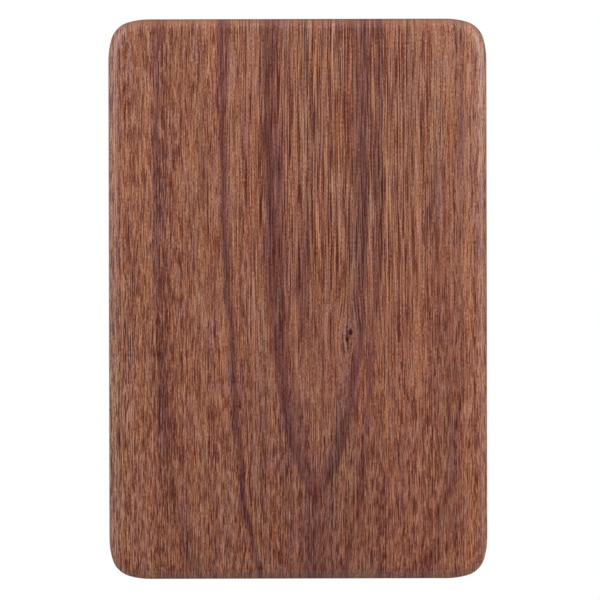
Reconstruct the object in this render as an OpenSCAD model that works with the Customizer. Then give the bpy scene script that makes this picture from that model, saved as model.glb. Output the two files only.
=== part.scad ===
// Flat-board kalimba: a solid walnut board that carries a bank of steel tines.
// Millimetres. The board lies on its back with the tines up: +Z is up, +Y runs towards
// the head of the board, where the tines are clamped, and the tips point along -Y.
// The origin is the middle of the board's back face.

/* [Board] */
// Length of the board, along the tines
board_length = 185; // [170:1:225]
// Width of the board, across the tines
board_width = 125; // [122:1:150]
// Thickness of the board
board_thickness = 18; // [15:0.5:24]
// Radius of the board's four corners, seen from above
corner_radius = 8.2; // [8.2:0.2:14]
// Radius of the gentle shoulders that lead from the sides into a corner
shoulder_radius = 25; // [16:0.5:40]
// Radius that rounds over the board's edges, front and back
edge_radius = 4; // [2:0.2:4]
// Distance from the head of the board to the tails of the tines
head_margin = 17; // [8:1:30]

/* [Tines] */
// Number of tines, with the lowest note in the middle
tine_count = 17; // [9:2:17]
// Free length of the lowest tine, from the bridge to its tip
lowest_tine_length = 62; // [50:1:75]
// Width of a tine
tine_width = 4.3; // [3.5:0.1:5.2]
// Thickness of a tine
tine_thickness = 1.1; // [0.8:0.05:1.4]
// Gap between one tine and the next
tine_gap = 1.6; // [1.2:0.1:2.2]
// Length of a tine behind the backstop
tine_tail = 9; // [5:0.5:14]
// Angle at which a tine leaves the bridge and rises towards its tip
tine_rise = 4.5; // [2:0.5:7]
// Angle that the tip is bent up by
tip_bend = 14; // [4:1:25]
// Radius of that bend, on the underside
tip_bend_radius = 26; // [15:1:40]

/* [Bridge and backstop] */
// Distance from the bridge to the backstop, with the pressure bar midway
support_spacing = 18; // [15:0.5:26]
// Height of the wooden bridge above the board
bridge_height = 9; // [6:0.5:13]
// Depth of the bridge and of the backstop, along the tines
strip_depth = 9; // [6:0.5:11]
// Diameter of the brass rod in the bridge
rod_diameter = 3.2; // [2:0.2:4.4]
// Length of the rod beyond the outer tines, at each end
rod_overhang = 0.5; // [0:0.1:1]
// Length of straight wood beyond each end of the rod
rod_end_wall = 1; // [0.5:0.1:1.5]

/* [Pressure bar] */
// Diameter of the pressure bar
bar_diameter = 5; // [4:0.2:6.5]
// Length of the bar beyond the middle of its outer screws
bar_overhang = 4.5; // [3.5:0.5:6]
// Chamfer on the bar's ends
bar_chamfer = 0.6; // [0.2:0.1:1]
// Depth of the flat seats that are cut into the bar for the screw heads
seat_depth = 0.8; // [0.4:0.1:1.2]

/* [Screws] */
// Diameter of a screw's shank
screw_diameter = 2.8; // [2:0.1:3.2]
// Diameter of a screw's head
head_diameter = 5.6; // [4.5:0.1:6.5]
// Height of a screw's head
head_height = 2; // [1.4:0.1:2.8]
// Radius of the dome on a screw's head
head_dome_radius = 3.6; // [3.4:0.1:6]
// Length of a screw's point
point_length = 2.8; // [1:0.1:4]
// Diameter at the end of that point
point_diameter = 0.7; // [0.4:0.1:1.5]
// Length of each slot of the crossed recess in a screw's head
recess_length = 3.1; // [2:0.1:4]
// Width of those slots
recess_width = 0.95; // [0.5:0.05:1.4]
// Depth of those slots
recess_depth = 1.2; // [0.6:0.1:1.4]
// Depth to which the screws go into the board
screw_bite = 11; // [8:0.5:12]

/* [Clearances] */
// Gap between the rod and the tines that rock on it
running_gap = 0.05; // [0.02:0.01:0.1]
// Gap from the tines to the bar above them and to the backstop below, which a pluck takes up
pluck_gap = 0.35; // [0.25:0.05:0.5]
// Gap round a rod in its groove and a screw in its hole
fit_gap = 0.02; // [0.01:0.01:0.05]
// Gap round a screw where it passes through the bar and its head sits in the seat
screw_clearance = 0.2; // [0.1:0.05:0.4]
// Gap between a screw and the tines beside it
screw_tine_gap = 0.4; // [0.3:0.05:0.8]

/* [Hidden] */
$fn = 64;

// Notes of the major scale, in semitones above the first, and their names
SCALE_STEPS = [0, 2, 4, 5, 7, 9, 11];
SCALE_NAMES = "cdefgab";
LOWEST_OCTAVE = 4;
function octave(note) = floor(note / len(SCALE_STEPS));
function semitones(note) = 12 * octave(note) + SCALE_STEPS[note % len(SCALE_STEPS)];
function tine_name(note) =
    str("tine_", SCALE_NAMES[note % len(SCALE_STEPS)], LOWEST_OCTAVE + octave(note));

// A reed's pitch goes with 1 / length squared, so an octave shortens it by the square root of 2
function free_length(note) = lowest_tine_length * pow(2, -semitones(note) / 24);

// Places across the board: the notes climb outwards, left and right in turn
outer_slot = (tine_count - 1) / 2;
inner_screw_slot = round(outer_slot / 2);
tine_pitch = tine_width + tine_gap;
screw_pitch = tine_width + screw_diameter + 2 * screw_tine_gap;
function slot_x(slot) = slot * tine_pitch + (slot > inner_screw_slot ? screw_pitch - tine_pitch : 0);
function tine_x(note) = (note % 2 == 0 ? 1 : -1) * slot_x(ceil(note / 2));
function screw_x(slot) = slot_x(slot) + screw_pitch / 2;
screw_places = [for (slot = [inner_screw_slot, outer_slot]) for (side = [-1, 1]) side * screw_x(slot)];

// Outline of the board: the middle of a corner round, where the shoulders leave the sides,
// and how far the slab's core stays inside. A shoulder turns through the smaller angle of a
// 7-24-25 triangle, so that the arcs meet in points with short decimals.
SHOULDER_TURN = [24, 7] / 25;
half_board = [board_width, board_length] / 2;
shoulder_step = shoulder_radius - corner_radius;
corner_middle = half_board - (shoulder_radius - shoulder_step * SHOULDER_TURN.x) * [1, 1];
shoulder_start = corner_middle - shoulder_step * SHOULDER_TURN.y * [1, 1];
core_inset = (edge_radius + corner_radius) / 2;

// Places along the board
backstop_y = board_length / 2 - head_margin - tine_tail;
bridge_y = backstop_y - support_spacing;
bar_y = bridge_y + support_spacing / 2;

// The line of a tine, seen from the side with the rod's axis as origin. It dips in an arc
// under the bar, and leaves the bridge and the backstop along tangents of that arc.
rod_radius = rod_diameter / 2;
rock_radius = rod_radius + running_gap;
dip_radius = support_spacing / 2 / sin(tine_rise) - rock_radius;
contact_height = rock_radius * cos(tine_rise);
dip_bottom = contact_height - dip_radius * (1 - cos(tine_rise));
bend_length = tip_bend_radius * tip_bend * PI / 180;

// Heights
rod_z = board_thickness + bridge_height;
bar_radius = bar_diameter / 2;
bar_z = rod_z + dip_bottom + tine_thickness + pluck_gap + bar_radius;
seat_z = bar_z + bar_radius - seat_depth;
ridge_radius = strip_depth / 2;
ridge_drop = (ridge_radius + pluck_gap - rock_radius) / cos(tine_rise);
backstop_height = bridge_height - ridge_drop + ridge_radius;

// Lengths across the board
rod_length = 2 * (slot_x(outer_slot) + tine_width / 2 + rod_overhang);
strip_straight = rod_length + 2 * rod_end_wall;
bar_length = 2 * (screw_x(outer_slot) + bar_overhang);

// Screws
head_radius = head_diameter / 2;
screw_radius = screw_diameter / 2;
screw_length = seat_z - board_thickness + screw_bite;

// How far a cut runs past the faces that it goes through
CUT = 1;
// Flats along the two bends of a tine
DIP_STEPS = 10;
BEND_STEPS = 10;

// Section of the board's rim, from this far inside its edge outwards
module rim_section(depth) {
    square([depth - edge_radius, board_thickness]);
    translate([0, edge_radius]) square([depth, board_thickness - 2 * edge_radius]);
    for (z = [edge_radius, board_thickness - edge_radius])
        translate([depth - edge_radius, z]) circle(edge_radius);
}

// A sector of the board round this middle, with its rim, between two directions
module rim_sector(middle, radius, from, to) {
    far = 2 * radius;
    translate(middle) intersection() {
        rotate_extrude(angle = 90) rim_section(radius);
        translate([0, 0, -CUT]) linear_extrude(board_thickness + 2 * CUT)
            polygon([[0, 0], far * from, far * to]);
    }
}

// A corner of the slab: a round with a shoulder on each side of it
module slab_corner() {
    turned = SHOULDER_TURN;
    turned_back = [turned.y, turned.x];
    rim_sector([half_board.x - shoulder_radius, shoulder_start.y], shoulder_radius, [1, 0], turned);
    rim_sector(corner_middle, corner_radius, turned, turned_back);
    rim_sector([shoulder_start.x, half_board.y - shoulder_radius], shoulder_radius, turned_back, [0, 1]);
}

// A rim along Y, this far from the middle of the slab
module slab_rim(distance, half_length) {
    translate([distance - corner_radius, half_length, 0])
        rotate([90, 0, 0]) linear_extrude(2 * half_length) rim_section(corner_radius);
}

// The rounded slab: a core that reaches into the rims and corners round it
module rounded_slab() {
    core = half_board - core_inset * [1, 1];
    quarter = [
        [core.x, shoulder_start.y],
        corner_middle + (corner_radius - core_inset) * [cos(45), sin(45)],
        [shoulder_start.x, core.y]
    ];
    linear_extrude(board_thickness) polygon(concat(
        quarter,
        [for (p = reversed(quarter)) [-p.x, p.y]],
        -quarter,
        [for (p = reversed(quarter)) [p.x, -p.y]]
    ));
    for (turn = [0, 180]) {
        rotate(turn) slab_rim(half_board.x, shoulder_start.y);
        rotate(turn + 90) slab_rim(half_board.y, shoulder_start.x);
    }
    for (across = [0, 1], along = [0, 1])
        mirror([across, 0, 0]) mirror([0, along, 0]) slab_corner();
}

module board() {
    color("sienna") difference() {
        rounded_slab();
        for (x = screw_places)
            translate([x, bar_y, board_thickness - screw_bite - CUT])
                cylinder(r = screw_radius + fit_gap, h = screw_bite + 2 * CUT);
    }
}

// Section of a wooden strip, as tall as given, with a round top
module strip_section(height) {
    straight = height - ridge_radius;
    translate([-ridge_radius, 0]) square([strip_depth, straight]);
    intersection() {
        translate([0, straight]) circle(ridge_radius);
        translate([-ridge_radius, straight]) square([strip_depth, ridge_radius]);
    }
}

// A wooden strip that lies across the board, with domed ends
module strip(height) {
    rotate([90, 0, 90]) linear_extrude(strip_straight, center = true) strip_section(height);
    for (side = [0, 180])
        rotate(side) translate([strip_straight / 2, 0, 0]) rotate(-90) rotate_extrude(angle = 180)
            intersection() {
                strip_section(height);
                square([strip_depth, height]);
            }
}

module bridge() {
    color("saddlebrown") difference() {
        translate([0, bridge_y, board_thickness]) strip(bridge_height);
        translate([0, bridge_y, rod_z]) rotate([0, 90, 0])
            cylinder(r = rod_radius + fit_gap, h = rod_length + 2 * fit_gap, center = true);
    }
}

module bridge_rod() {
    color("goldenrod") translate([0, bridge_y, rod_z]) rotate([0, 90, 0])
        cylinder(r = rod_radius, h = rod_length, center = true);
}

module backstop() {
    color("saddlebrown") translate([0, backstop_y, board_thickness]) strip(backstop_height);
}

// A round bar along Z with chamfered ends
module chamfered_bar(radius, length, chamfer) {
    rotate_extrude() polygon([
        [0, 0], [radius - chamfer, 0], [radius, chamfer],
        [radius, length - chamfer], [radius - chamfer, length], [0, length]
    ]);
}

module pressure_bar() {
    color("lightsteelblue") difference() {
        translate([-bar_length / 2, bar_y, bar_z]) rotate([0, 90, 0])
            chamfered_bar(bar_radius, bar_length, bar_chamfer);
        for (x = screw_places) translate([x, bar_y, bar_z - bar_radius - CUT]) {
            cylinder(r = screw_radius + screw_clearance, h = bar_diameter + 2 * CUT);
            translate([0, 0, seat_z - bar_z + bar_radius + CUT])
                cylinder(r = head_radius + screw_clearance, h = seat_depth + CUT);
        }
    }
}

// One screw, with the underside of its head at the origin: a domed head with a crossed
// recess, a plain shank and a point
module screw() {
    difference() {
        union() {
            rotate_extrude() intersection() {
                square([head_radius, head_height]);
                translate([0, head_height - head_dome_radius]) circle(head_dome_radius);
            }
            translate([0, 0, point_length - screw_length])
                cylinder(r = screw_radius, h = screw_length - point_length);
            translate([0, 0, -screw_length])
                cylinder(r1 = point_diameter / 2, r2 = screw_radius, h = point_length);
        }
        for (turn = [0, 90]) rotate(turn)
            translate([-recess_length / 2, -recess_width / 2, head_height - recess_depth])
                cube([recess_length, recess_width, recess_depth + CUT]);
    }
}

module clamp_screws() {
    color("silver") for (x = screw_places)
        translate([x, bar_y, seat_z]) screw();
}

// Stations along a tine's underside, tail first, each as [forward, up, slope]
function arc_stations(from, to, steps, radius, start) = [
    for (i = [0 : steps])
        let (slope = from + (to - from) * i / steps)
        [
            start.x + radius * (sin(slope) - sin(from)),
            start.y + radius * (cos(from) - cos(slope)),
            slope
        ]
];
function stations(note) =
    let (
        backstop_contact = [-support_spacing + rock_radius * sin(tine_rise), contact_height],
        bridge_contact = [-rock_radius * sin(tine_rise), contact_height],
        along = [cos(tine_rise), sin(tine_rise)],
        tail_end = backstop_contact + tine_tail * [-along.x, along.y],
        bend_start = bridge_contact + (free_length(note) - bend_length) * along
    )
    concat(
        [[tail_end.x, tail_end.y, -tine_rise]],
        arc_stations(-tine_rise, tine_rise, DIP_STEPS, dip_radius, backstop_contact),
        arc_stations(tine_rise, tine_rise + tip_bend, BEND_STEPS, tip_bend_radius, bend_start)
    );
function underside(line) = [for (s = line) [s.x, s.y]];
function topside(line) = [for (s = line) [s.x, s.y] + tine_thickness * [-sin(s.z), cos(s.z)]];
function reversed(list) = [for (i = [len(list) - 1 : -1 : 0]) list[i]];

// One tine: its bent strip, seen from the side, trimmed to its width and its round tip
module tine(note) {
    line = stations(note);
    top = topside(line);
    tip_middle = top[len(top) - 1].x - tine_width / 2;
    color("gainsboro") translate([tine_x(note), bridge_y, rod_z]) intersection() {
        rotate([90, 0, -90]) linear_extrude(2 * tine_width, center = true)
            polygon(concat(underside(line), reversed(top)));
        linear_extrude(lowest_tine_length, center = true) {
            translate([0, -tip_middle]) circle(tine_width / 2);
            translate([-tine_width / 2, -tip_middle])
                square([tine_width, tip_middle + support_spacing + 2 * tine_tail]);
        }
    }
}

board();
bridge();
bridge_rod();
backstop();
pressure_bar();
clamp_screws();
for (note = [0 : tine_count - 1])
    tine(note);
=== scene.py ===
"""Looks of a flat-board kalimba: its walnut, dark wood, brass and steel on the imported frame.

Metres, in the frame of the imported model: the board lies on its back at z = 0 with the tines
up, and +Y runs to its head. Inside the materials, lengths are in millimetres.
"""
import math

import bpy
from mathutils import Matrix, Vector


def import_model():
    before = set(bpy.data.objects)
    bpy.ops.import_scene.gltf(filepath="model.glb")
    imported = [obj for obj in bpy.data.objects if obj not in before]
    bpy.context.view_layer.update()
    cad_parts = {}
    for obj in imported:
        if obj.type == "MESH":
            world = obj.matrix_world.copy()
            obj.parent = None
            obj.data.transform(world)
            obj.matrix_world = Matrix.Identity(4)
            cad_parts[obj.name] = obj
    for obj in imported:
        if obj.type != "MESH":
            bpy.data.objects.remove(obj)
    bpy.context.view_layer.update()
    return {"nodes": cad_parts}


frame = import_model()

MM_PER_M = 1000
WHITE = (1, 1, 1, 1)


def srgb(red, green, blue):
    """A colour written as it looks on a screen, in 0 to 255, as the linear colour of a shader."""
    def linear(level):
        share = level / 255
        return share / 12.92 if share <= 0.04045 else ((share + 0.055) / 1.055) ** 2.4
    return (linear(red), linear(green), linear(blue), 1)


class Field:
    """A number that varies over a surface: the output of a shader node, with plain arithmetic."""

    def __init__(self, nodes, socket):
        self.nodes = nodes
        self.socket = socket

    def __add__(self, other):
        return self.nodes.math("ADD", self, other)

    def __sub__(self, other):
        return self.nodes.math("SUBTRACT", self, other)

    def __rsub__(self, other):
        return self.nodes.math("SUBTRACT", other, self)

    def __mul__(self, other):
        return self.nodes.math("MULTIPLY", self, other)

    def __truediv__(self, other):
        return self.nodes.math("DIVIDE", self, other)

    __radd__ = __add__
    __rmul__ = __mul__

    def __abs__(self):
        return self.nodes.math("ABSOLUTE", self)

    def __pow__(self, power):
        return self.nodes.math("POWER", self, power)

    def exp(self):
        return self.nodes.math("EXPONENT", self)

    def least(self, other):
        return self.nodes.math("MINIMUM", self, other)

    def most(self, other):
        return self.nodes.math("MAXIMUM", self, other)

    def below(self, limit):
        """1 where the number is less than the limit, and 0 elsewhere."""
        return self.nodes.math("LESS_THAN", self, limit)

    def above(self, limit):
        """1 where the number is more than the limit, and 0 elsewhere."""
        return self.nodes.math("GREATER_THAN", self, limit)

    def bell(self, width):
        """1 where the number is 0, and falling away on both sides over this width."""
        share = self / width
        return (share * share * -1).exp()

    def rise(self, start, end):
        """0 at start, 1 at end and smooth between. Start may be the higher of the two."""
        return self.nodes.add(
            "ShaderNodeMapRange", {"Value": self, "From Min": start, "From Max": end},
            interpolation_type="SMOOTHSTEP",
        )


class Nodes:
    """A tree of shader nodes. What feeds a node may be a number, a colour or a Field."""

    def __init__(self, tree):
        self.tree = tree

    def feed(self, socket, value):
        if isinstance(value, Field):
            self.tree.links.new(value.socket, socket)
        else:
            socket.default_value = value

    def add(self, kind, inputs, output=0, **settings):
        node = self.tree.nodes.new(kind)
        for name, value in settings.items():
            setattr(node, name, value)
        for name, value in inputs.items():
            self.feed(node.inputs[name], value)
        return Field(self, node.outputs[output])

    def math(self, operation, *values):
        return self.add("ShaderNodeMath", dict(enumerate(values)), operation=operation)

    def ray(self, part):
        return self.add("ShaderNodeLightPath", {}, part)

    def shown(self):
        """1 for the rays that make a picture: the camera's, and those from gloss or glass."""
        direct = self.ray("Is Camera Ray")
        return direct.most(self.ray("Is Glossy Ray")).most(self.ray("Is Transmission Ray"))


class Material(Nodes):
    """A material's nodes, with the patterns that materials are made of."""

    def __init__(self, name):
        self.material = bpy.data.materials.new(name)
        self.material.use_nodes = True
        super().__init__(self.material.node_tree)
        self.shader = self.tree.nodes["Principled BSDF"]

    def split(self, vector):
        return [self.add("ShaderNodeSeparateXYZ", {0: vector}, axis) for axis in "XYZ"]

    def place(self):
        """The three coordinates of a point of the surface, in millimetres."""
        metres = self.add("ShaderNodeTexCoord", {}, "Object")
        return [axis * MM_PER_M for axis in self.split(metres)]

    def normal(self):
        return self.split(self.add("ShaderNodeTexCoord", {}, "Normal"))

    def point(self, x, y, z):
        return self.add("ShaderNodeCombineXYZ", {"X": x, "Y": y, "Z": z})

    def noise(self, x, y, z, detail=2.0, roughness=0.5):
        """Cloudy noise about 0, mostly between -1 and 1, with one cell to each unit."""
        cloud = self.add(
            "ShaderNodeTexNoise",
            {"Vector": self.point(x, y, z), "Scale": 1.0, "Detail": detail, "Roughness": roughness},
        )
        return cloud * 4 - 2

    def cells(self, x, y, z):
        """Distance to the nearest of many scattered points, about one to each unit cell."""
        inputs = {"Vector": self.point(x, y, z), "Scale": 1.0}
        return self.add("ShaderNodeTexVoronoi", inputs, "Distance")

    def tubes(self, across, depth):
        """Scattered tubes along y, about one to each unit cell: the distance from the nearest
        one's middle, and two numbers that are its own."""
        spread = 50
        inputs = {"Vector": self.point(across, depth, 0), "Scale": 1.0}
        distance = self.add("ShaderNodeTexVoronoi", inputs, "Distance", voronoi_dimensions="2D")
        own = self.split(Field(self, distance.socket.node.outputs["Color"]))
        return distance, own[0] * spread, own[1] * spread

    def ramp(self, value, stops):
        """A colour for each value, through (value, colour) stops."""
        node = self.tree.nodes.new("ShaderNodeValToRGB")
        self.feed(node.inputs["Fac"], value)
        elements = node.color_ramp.elements
        while len(elements) < len(stops):
            elements.new(1.0)
        for element, (position, colour) in zip(elements, stops):
            element.position = position
            element.color = colour
        return Field(self, node.outputs["Color"])

    def blend(self, share, first, second, kind="MIX"):
        """From the first colour to the second as share goes from 0 to 1."""
        node = self.tree.nodes.new("ShaderNodeMix")
        node.data_type = "RGBA"
        node.blend_type = kind
        for name, value in (("Factor_Float", share), ("A_Color", first), ("B_Color", second)):
            self.feed(next(s for s in node.inputs if s.identifier == name), value)
        return Field(self, next(s for s in node.outputs if s.identifier == "Result_Color"))

    def tint(self, colour, value, stops):
        """The colour times the factors for each value, through (value, factors) stops."""
        return self.blend(1.0, colour, self.ramp(value, stops), "MULTIPLY")

    def bump(self, height, depth):
        """A surface that goes in and out by the height, where 1 is this many millimetres."""
        return self.add("ShaderNodeBump", {"Height": height, "Distance": depth / MM_PER_M})

    def finish(self, **sockets):
        """Sets the shader's sockets, named with _ for a space, and returns the material."""
        for name, value in sockets.items():
            self.feed(self.shader.inputs[name.replace("_", " ")], value)
        return self.material


# The board. The grain of its back and front runs on over their rounded edges, up to this depth
BOARD_THICKNESS = 18
ROUNDED = 2.5
# The painted shade and the higher roughness of its lower rounded edge fade out between these heights
RIM_FULL = 4
RIM_TOP = 7

# Cone of the growth rings: the x of its middle, half its width far from its point, the y of the
# point, and over how long a run it widens from there
RINGS = dict(middle=-5, half_width=20, point=-65, run=40)
RING_SPACING = 3.0
# How far a cone moves inwards with each millimetre of depth
CONE_SLANT = 0.6
# Arches of dark wood: each is such a cone, with how far the dark wood fades inwards and how dark
# it is on the +X and the -X side
ARCHES = [
    dict(middle=-6.3, half_width=17.0, point=-68, run=27, fade=8.0, plus_x=0.72, minus_x=0.62),
    dict(middle=-1.0, half_width=27.3, point=-129, run=50, fade=3.2, plus_x=0.65, minus_x=0.40),
    dict(middle=-3.8, half_width=51.0, point=-127, run=26, fade=6.0, plus_x=0.32, minus_x=0.30),
]
# Single dark lines: the x at y = 0, the sideways lean, and the y where each starts and ends
LINES = [
    dict(x=-6.3, lean=0.0, start=-66, end=-100, width=5.5, darkness=0.50),
    dict(x=-1.5, lean=-0.08, start=92, end=30, width=1.2, darkness=0.30),
    dict(x=-1.5, lean=-0.08, start=22, end=-16, width=2.0, darkness=0.55),
    dict(x=-26.8, lean=0.0, start=55, end=8, width=1.0, darkness=0.40),
    dict(x=-36.7, lean=0.0, start=92, end=35, width=1.2, darkness=0.35),
    dict(x=-46.0, lean=0.0, start=50, end=-20, width=2.8, darkness=0.35),
    dict(x=-48.0, lean=0.05, start=-25, end=-85, width=2.6, darkness=0.35),
    dict(x=-19.0, lean=0.0, start=-2, end=-18, width=1.4, darkness=0.50),
    dict(x=23.3, lean=0.0, start=92, end=-30, width=0.7, darkness=0.50),
]
LINE_FADE = 8
# Pin knots
KNOTS = [dict(x=-17.3, y=-11.0, radius=0.75), dict(x=-16.1, y=-13.3, radius=0.55)]
# The x of the middle of the straight lines and of the darkening towards the foot
GRAIN_MIDDLE = -12
# Near the foot, at about this y, the runs of tones along the fibres get shorter
FOOT = -92
SHORTENING = 26
SHORTENING_REACH = 45

# Tones from the darkest to the lightest, and how far each pattern goes along them
WALNUT_TONES = [
    (0.00, srgb(74, 8, 0)),
    (0.25, srgb(106, 46, 25)),
    (0.50, srgb(136, 82, 60)),
    (0.75, srgb(163, 114, 90)),
    (1.00, srgb(188, 146, 121)),
]
BASE_TONE = 0.68
FIBRE_TONE = 0.46
PORE_TONE = -1.0
SPECK_TONE = 0.26
BAND_TONE = 0.07
RING_TONE = 0.09
CLOUD_TONE = 0.05
VEIN_TONE = -0.08
KNOT_TONE = -0.6
# Factors on the tones: from purplish to tan in patches, from red to neutral in streaks, and
# from light to dark purplish wood in shades, which also serve for painted shade
WALNUT_PATCHES = [
    (0.0, (0.95, 0.96, 1.13, 1)),
    (1.0, (1.05, 1.02, 0.86, 1)),
]
WALNUT_STREAKS = [
    (0.0, (1.09, 0.93, 0.90, 1)),
    (1.0, (1.0, 1.005, 0.97, 1)),
]
WALNUT_SHADES = [
    (0.0, WHITE),
    (1.0, (0.49, 0.36, 0.43, 1)),
]
# How far patterns go along WALNUT_SHADES. The darkening towards the foot is partly painted shade, and
# that of the lower rounded edge is painted shade.
FOOTWARD_DARKENING = 0.26
SMUDGE_SHADE = 0.40
STRIPE_SHADE = 0.40
RIM_PAINTED_SHADE = 0.6
KNOT_SHADE = 0.9
WALNUT_ROUGHNESS = 0.36
PORE_DEPTH = 0.012


class Walnut(Material):
    """The board's wood. Its fibres run along the board. Its growth rings are cones about an axis
    that comes nearer to the back towards the head, so they show there as nested arches with
    their points towards the foot."""

    def __init__(self):
        super().__init__("walnut")
        self.x, self.y, self.height = self.place()
        _, self.headwards, self.upwards = self.normal()
        middle = BOARD_THICKNESS / 2
        inner = middle - ROUNDED
        self.z = (self.height - middle).most(-inner).least(inner) + inner

        self.fibre = self.x + 0.12 * self.waver(width=4, length=24)
        self.knots = 0
        for knot in KNOTS:
            parting, spot = self.pin_knot(**knot)
            self.fibre = self.fibre - parting
            self.knots = spot + self.knots
        self.across = self.fibre + self.waver(width=16, length=40)

        # Lines are long and straight up the middle, shorter towards the sides and the foot
        central = abs(self.x - GRAIN_MIDDLE).rise(54, 14)
        self.straight = (0.2 + 0.8 * central) * self.y.rise(-60, 20)
        self.ruffled = 1 - self.straight
        self.shortened_y = self.y - SHORTENING * ((FOOT - self.y) / SHORTENING_REACH).exp()

        self.bands = self.streaks(width=1.3, length=20 + 40 * self.straight)
        fine = self.vessels(width=0.22, long=14, short=5.5, rarity=-0.2)
        wide = self.vessels(width=0.34, long=28, short=10, rarity=0.0)
        self.pores = 1.3 * fine + 0.9 * wide

    def pin_knot(self, x, y, radius):
        """A knot near the back: how far the fibres part round it, and its own dark spot."""
        aside = self.x - x
        along = self.y - y
        near_back = self.z.rise(8, 2)
        parted_width = 6 * radius
        parted_length = 13 * radius
        around = aside.bell(parted_width) * along.bell(parted_length) * near_back
        half_length = 1.45 * radius
        spread = (aside / radius) ** 2 + (along / half_length) ** 2
        return 0.45 * aside * around, spread.rise(1.6, 0.3) * near_back

    def waver(self, width, length):
        """A smooth sideways wander, over this width and length."""
        return self.noise(self.x / width, self.y / length, self.z / width)

    def streaks(self, width, length, shift=0, detail=2):
        """Noise that is drawn out along the fibres. The shift sets it apart from others."""
        return self.noise(self.fibre / width + shift, self.y / length, self.z / width, detail)

    def runs(self, long, short, first, second):
        """Tones along a fibre with these two numbers, in long straight and in short runs."""
        straight = self.noise(self.y / long + first, second, 0, detail=1)
        ruffled = self.noise(self.shortened_y / short + first, second, 7, detail=1)
        return straight, ruffled

    def threads(self, width, long, short):
        """Fine lines, lighter and darker, each with its own run of tones along the board."""
        _, first, second = self.tubes(self.fibre / width, self.z / width)
        straight, ruffled = self.runs(long, short, first, second)
        return self.straight * straight + self.ruffled * ruffled

    def vessels(self, width, long, short, rarity):
        """Dark lines where the surface cuts open the wood's vessels."""
        distance, first, second = self.tubes(self.fibre / width + 31, self.z / width)
        straight, ruffled = self.runs(long, short, first, second)
        rarer = 0.8
        softness = 0.7
        long_limit = rarity + rarer * self.ruffled
        short_limit = rarity + rarer * self.straight
        long_runs = straight.rise(long_limit, long_limit + softness)
        short_runs = ruffled.rise(short_limit, short_limit + softness)
        return distance.rise(0.5, 0.25) * (long_runs + short_runs)

    def cone(self, middle, half_width, point, run):
        """How far out a point lies in a cone, measured across the fibres."""
        widening = ((point - self.y) / run).exp()
        return abs(self.across - middle) + half_width * widening + CONE_SLANT * self.z

    def arch(self, middle, half_width, point, run, fade, plus_x, minus_x):
        """Dark wood along a growth ring: sharp on its outside, where it has a thin line."""
        edge = self.cone(middle, half_width, point, run) - half_width
        outside = edge.rise(1.6, -1.2)
        inside = edge.rise(-fade, -1.0)
        thin_line = (edge + 0.8).bell(0.9)
        side = (self.across - middle).rise(-1.5, 1.5)
        darkness = minus_x + (plus_x - minus_x) * side
        return (outside * inside + 0.5 * thin_line) * darkness

    def line(self, x, lean, start, end, width, darkness):
        """A single dark line along the fibres, which fades in and out."""
        starting = self.y.rise(start + LINE_FADE, start - LINE_FADE)
        ending = self.y.rise(end - LINE_FADE, end + LINE_FADE)
        return darkness * (self.across - x - lean * self.y).bell(width) * starting * ending

    def shade(self):
        """How much of the dark heartwood's colour the wood has. Towards the foot about the middle it
        is partly painted shade.
        """
        uneven = 1 + 0.35 * self.bands + 0.3 * self.streaks(width=8, length=30, shift=23)
        zones = 0
        for arch in ARCHES:
            zones = (self.arch(**arch) * uneven).most(zones)
        for line in LINES:
            zones = (self.line(**line) * uneven).most(zones)
        # Darker towards the foot about the middle: partly painted shade, for the light that falls off
        # towards the foot.
        darker_footwards = self.y.rise(40, -80) * (self.x - GRAIN_MIDDLE).bell(34)
        smudges = self.streaks(width=1.8, length=11, shift=59).rise(0.5, 1.1) * self.ruffled
        stripes = 0.6 * self.bands + self.streaks(width=3.2, length=70, shift=17)
        return (
            zones + FOOTWARD_DARKENING * darker_footwards + SMUDGE_SHADE * smudges
            + STRIPE_SHADE * stripes.rise(0.0, 1.2)
        )

    def fine_grain(self):
        """Fibres, vessels and specks, which show less in the end grain."""
        end_grain = self.headwards.rise(0.35, 0.65).most(self.headwards.rise(-0.8, -1.0))
        contrast = 0.80 + 0.17 * self.y.rise(-80, -20) + 0.28 * self.straight
        fine = self.threads(width=0.15, long=14, short=6)
        wide = self.threads(width=0.32, long=36, short=14)
        fibres = 1.2 * fine + 0.3 * wide
        specks = self.streaks(width=0.3, length=0.9, detail=1)
        lines = FIBRE_TONE * fibres + PORE_TONE * self.pores + SPECK_TONE * specks
        return lines * contrast * (1 - 0.6 * end_grain)

    def regions(self):
        """Where whole parts of the board are lighter or darker. The darkening at the foot end is
        painted shade.
        """
        lower = 0.02 * self.y.rise(-10, -50)
        upper_middle = 0.03 * self.y.rise(0, 40) * self.x.rise(25, 5)
        long_edges = 0.04 * abs(self.x).rise(46, 58)
        plus_side = -0.03 * self.x.rise(10, 40)
        # Painted shade: a little darker at the foot end.
        foot = -0.03 * self.headwards.rise(-0.1, -0.7)
        return lower + upper_middle + long_edges + plus_side + foot

    def tone(self):
        """How light the wood is, along WALNUT_TONES."""
        rings = self.noise(
            self.cone(**RINGS) / RING_SPACING, self.y / 80, self.x / 25, detail=2, roughness=0.6
        )
        clouds = self.streaks(width=9, length=45)
        veins = self.streaks(width=1.7, length=90, detail=1).bell(0.10) * self.straight
        return (
            BASE_TONE + self.regions() + self.fine_grain() + BAND_TONE * self.bands
            + RING_TONE * rings + CLOUD_TONE * clouds + VEIN_TONE * veins + KNOT_TONE * self.knots
        )

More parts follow.
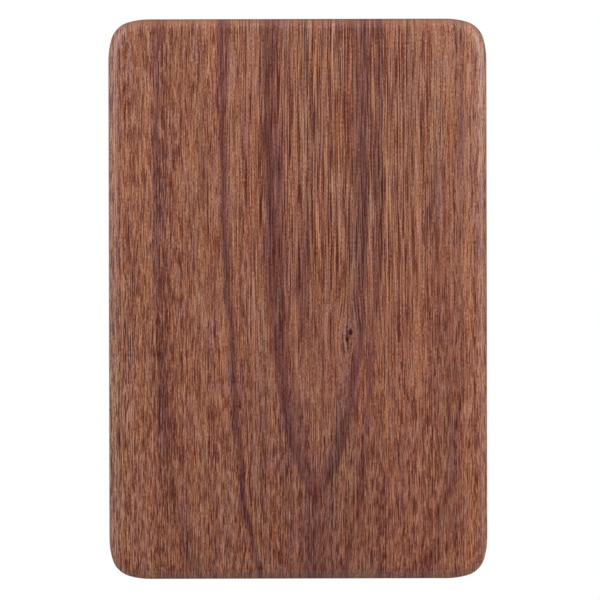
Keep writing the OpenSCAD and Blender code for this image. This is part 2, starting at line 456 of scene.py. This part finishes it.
    def colour(self):
        """The tones, tinted in patches, streaks and shades, with painted shade on the lower rounded
        edge, at the foot end and partly towards the foot.
        """
        shade = self.shade()
        # Painted shade: the foot end is made warmer and less grey, against the grey sheen on its
        # rounded edge.
        foot = self.headwards.rise(-0.2, -0.7)
        lower_side = self.x.rise(-15, -35) * self.y.rise(40, 0)
        tan_share = (
            0.52 - 0.4 * shade + 0.4 * self.streaks(width=2.2, length=12)
            + 0.5 * self.streaks(width=6, length=30) + 0.5 * foot + 0.12 * lower_side
        )
        neutral_share = (
            0.6 + 0.6 * self.streaks(width=5, length=80, shift=41)
            + 0.4 * self.streaks(width=1.6, length=40, shift=83) - 0.8 * foot - 0.5 * lower_side
        )
        # Painted shade: the lower rounded edge is darkened, as a contact shadow and a dark outline
        # along it.
        painted_rim_shade = self.upwards.rise(-0.55, -0.2) * self.height.rise(RIM_TOP, RIM_FULL)
        dark_share = shade + RIM_PAINTED_SHADE * painted_rim_shade + KNOT_SHADE * self.knots
        colour = self.ramp(self.tone(), WALNUT_TONES)
        colour = self.tint(colour, tan_share, WALNUT_PATCHES)
        colour = self.tint(colour, neutral_share, WALNUT_STREAKS)
        return self.tint(colour, dark_share, WALNUT_SHADES)

    def roughness(self):
        """Rougher in the vessels, and matte round the lower rounded edge."""
        turning = self.upwards.rise(-0.75, -0.55) * self.upwards.rise(-0.1, -0.35)
        matte = turning * self.height.rise(RIM_TOP, RIM_FULL)
        return WALNUT_ROUGHNESS + 0.08 * self.pores + 0.35 * matte


def walnut():
    """The board, with its vessels open."""
    wood = Walnut()
    return wood.finish(
        Base_Color=wood.colour(), Roughness=wood.roughness(), Specular_IOR_Level=0.5,
        Normal=wood.bump(-1 * wood.pores, PORE_DEPTH),
    )


DARK_WOOD_TONES = [
    (0.0, srgb(26, 13, 9)),
    (0.4, srgb(56, 30, 20)),
    (0.6, srgb(78, 43, 28)),
    (1.0, srgb(118, 69, 45)),
]


def dark_wood():
    """The bridge and the backstop, with the grain along the strips."""
    wood = Material("dark_wood")
    x, y, z = wood.place()
    waver = y + 0.4 * wood.noise(x / 18, y / 6, z / 6)
    lines = wood.noise(waver / 0.35, x / 16, z / 0.35, detail=3, roughness=0.65)
    bands = wood.noise(waver / 1.8, x / 45, z / 1.8)
    pores = wood.cells(waver / 0.5, x / 5, z / 0.5).rise(0.30, 0.12)
    return wood.finish(
        Base_Color=wood.ramp(0.5 + 0.22 * lines + 0.16 * bands - 0.35 * pores, DARK_WOOD_TONES),
        Roughness=0.36 + 0.12 * pores + 0.04 * lines,
        Normal=wood.bump(-1 * pores + 0.2 * lines, depth=0.02),
    )


def brass():
    """The rod, drawn along its length, with a little tarnish."""
    metal = Material("brass")
    x, y, z = metal.place()
    drawn = metal.noise(x / 9, y / 0.12, z / 0.12, detail=3, roughness=0.6)
    tarnish = metal.noise(x / 7, y / 3, z / 3, detail=3, roughness=0.6)
    share = (0.5 + 0.5 * tarnish).rise(0.2, 1.0)
    return metal.finish(
        Base_Color=metal.blend(share, srgb(226, 190, 112), srgb(176, 132, 70)),
        Metallic=1.0,
        Roughness=0.22 + 0.05 * drawn + 0.06 * tarnish,
        Normal=metal.bump(drawn, depth=0.002),
    )


def plated_steel(name, light, dark, base_roughness):
    """The pressure bar or the screws, with a faint haze and fine turning marks round x."""
    metal = Material(name)
    x, y, z = metal.place()
    haze = metal.noise(x / 6, y / 4, z / 4, detail=3, roughness=0.6)
    turned = metal.noise(x / 0.25, y / 2.5, z / 2.5, detail=2, roughness=0.6)
    share = (0.5 + 0.5 * haze).rise(0.0, 1.0)
    return metal.finish(
        Base_Color=metal.blend(share, light, dark),
        Metallic=1.0,
        Roughness=base_roughness + 0.05 * haze + 0.03 * turned,
        Normal=metal.bump(turned, depth=0.0015),
    )


def tine_steel():
    """Spring steel, brushed along the tines, with a faint haze."""
    metal = Material("tine_steel")
    x, y, z = metal.place()
    brushed = metal.noise(x / 0.09, y / 22, z / 0.09, detail=2, roughness=0.6)
    scratches = metal.noise(x / 0.25 + 13, y / 40, z / 0.25, detail=1).bell(0.06)
    haze = metal.noise(x / 4, y / 16, z / 4)
    share = (0.4 + 0.35 * brushed + 0.15 * haze + 0.25 * scratches).rise(0.0, 1.0)
    return metal.finish(
        Base_Color=metal.blend(share, srgb(208, 208, 210), srgb(158, 158, 162)),
        Metallic=1.0,
        Roughness=0.26 + 0.06 * brushed + 0.03 * haze + 0.06 * scratches,
        Anisotropic=0.4,
        Normal=metal.bump(brushed, depth=0.002),
    )


# Bevels: their width on the rod and the tines in millimetres, and what counts as an edge
ROD_EDGE = 0.2
TINE_EDGE = 0.18
BEVEL_SEGMENTS = 3
SHARP_ANGLE = math.radians(35)
WELD_REACH = 1e-6


def dress(node, material, edge=0.0):
    """Gives a CAD node its material and, where edge is set, softens its edges by that many mm."""
    piece = frame["nodes"][node]
    piece.data.materials.clear()
    piece.data.materials.append(material)
    if edge:
        weld = piece.modifiers.new("weld", "WELD")
        weld.merge_threshold = WELD_REACH
        bevel = piece.modifiers.new("soft_edges", "BEVEL")
        bevel.width = edge / MM_PER_M
        bevel.segments = BEVEL_SEGMENTS
        bevel.limit_method = "ANGLE"
        bevel.angle_limit = SHARP_ANGLE
        bevel.harden_normals = True


def dress_all():
    dress("board", walnut())
    strips = dark_wood()
    dress("bridge", strips)
    dress("backstop", strips)
    dress("bridge_rod", brass(), edge=ROD_EDGE)
    bar = plated_steel("bar_steel", srgb(214, 214, 216), srgb(182, 182, 186), base_roughness=0.16)
    dress("pressure_bar", bar)
    screws = plated_steel("screw_steel", srgb(205, 206, 210), srgb(160, 162, 168), base_roughness=0.26)
    dress("clamp_screws", screws)
    tines = tine_steel()
    for node in frame["nodes"]:
        if node.startswith("tine_"):
            dress(node, tines, edge=TINE_EDGE)


# Floor and world. The camera looks at the back, on which the board lies. So the floor shows
# only from above, and light from below passes it where it goes no further than the board's
# lower edge. Reflections in the flat back still meet the floor.
FLOOR_SIZE = 6.0
FLOOR_DROP = 0.0001
FLOOR_COLOUR = srgb(240, 239, 236)
FLOOR_GLOW = 0.12
CONTACT_REACH = 0.0003
EDGE_REACH = 0.005
FILL = 0.25


def floor_material():
    ground = Material("floor")
    reach = ground.ray("Ray Length")
    contact = reach.below(CONTACT_REACH) * ground.ray("Is Glossy Ray")
    from_above = 1 - ground.add("ShaderNodeNewGeometry", {}, "Backfacing")
    solid = reach.above(EDGE_REACH).most(contact) * from_above
    clear = ground.add("ShaderNodeBsdfTransparent", {})
    matte = ground.add("ShaderNodeBsdfDiffuse", {"Color": FLOOR_COLOUR})
    glow = ground.add("ShaderNodeEmission", {"Strength": FLOOR_GLOW * ground.shown()})
    pale = ground.add("ShaderNodeAddShader", {0: matte, 1: glow})
    surface = ground.add("ShaderNodeMixShader", {0: solid, 1: clear, 2: pale})
    ground.tree.nodes.remove(ground.shader)
    ground.feed(ground.tree.nodes["Material Output"].inputs["Surface"], surface)
    return ground.material


def floor():
    half = FLOOR_SIZE / 2
    mesh = bpy.data.meshes.new("floor")
    corners = [(-half, -half), (half, -half), (half, half), (-half, half)]
    mesh.from_pydata([(x, y, -FLOOR_DROP) for x, y in corners], [], [(0, 1, 2, 3)])
    mesh.materials.append(floor_material())
    plane = bpy.data.objects.new("floor", mesh)
    bpy.context.scene.collection.objects.link(plane)


def world():
    """White to the camera and in reflections, and a gentler fill as light."""
    studio = bpy.data.worlds.new("studio")
    studio.use_nodes = True
    nodes = Nodes(studio.node_tree)
    background = studio.node_tree.nodes["Background"]
    background.inputs["Color"].default_value = WHITE
    nodes.feed(background.inputs["Strength"], FILL + (1 - FILL) * nodes.shown())
    bpy.context.scene.world = studio


def softbox(name, place, width, height, share):
    """An area lamp that faces the object and gives this share of a plain light level to a face
    turned towards it."""
    lamp = bpy.data.lights.new(name, "AREA")
    lamp.shape = "RECTANGLE"
    lamp.size = width
    lamp.size_y = height
    distance = Vector(place).length
    lamp.energy = share * math.pi ** 2 * distance ** 2
    holder = bpy.data.objects.new(name, lamp)
    holder.location = place
    holder.rotation_euler = Vector(place).to_track_quat("Z", "Y").to_euler()
    bpy.context.scene.collection.objects.link(holder)


def lights():
    softbox("left_below", place=(0.5, 0.30, -0.34), width=0.5, height=0.62, share=0.78)
    softbox("right_below", place=(-0.5, 0.30, -0.34), width=0.5, height=0.62, share=0.78)
    softbox("key_above", place=(-0.45, -0.35, 0.8), width=0.6, height=0.6, share=0.6)
    softbox("fill_above", place=(0.6, 0.3, 0.6), width=0.6, height=0.6, share=0.33)


# Camera. It looks straight at the board's back, with the head up. Its distance and the frame's
# width are those at the height of the outline that it sees, just above the rounded edge.
CAMERA_DISTANCE = 1.2
SENSOR = 36
FRAME_WIDTH = 0.1984
OUTLINE_HEIGHT = 0.0045
VIEW_MIDDLE = (-0.00069, -0.0004)
ROLL = math.radians(0.14)


def camera():
    eye = bpy.data.cameras.new("camera")
    eye.sensor_width = SENSOR
    eye.lens = SENSOR * CAMERA_DISTANCE / FRAME_WIDTH
    holder = bpy.data.objects.new("camera", eye)
    holder.location = (*VIEW_MIDDLE, OUTLINE_HEIGHT - CAMERA_DISTANCE)
    holder.rotation_euler = (0, math.pi, ROLL)
    bpy.context.scene.collection.objects.link(holder)
    bpy.context.scene.camera = holder


bpy.context.scene.view_settings.view_transform = "Standard"
dress_all()
floor()
world()
lights()
camera()
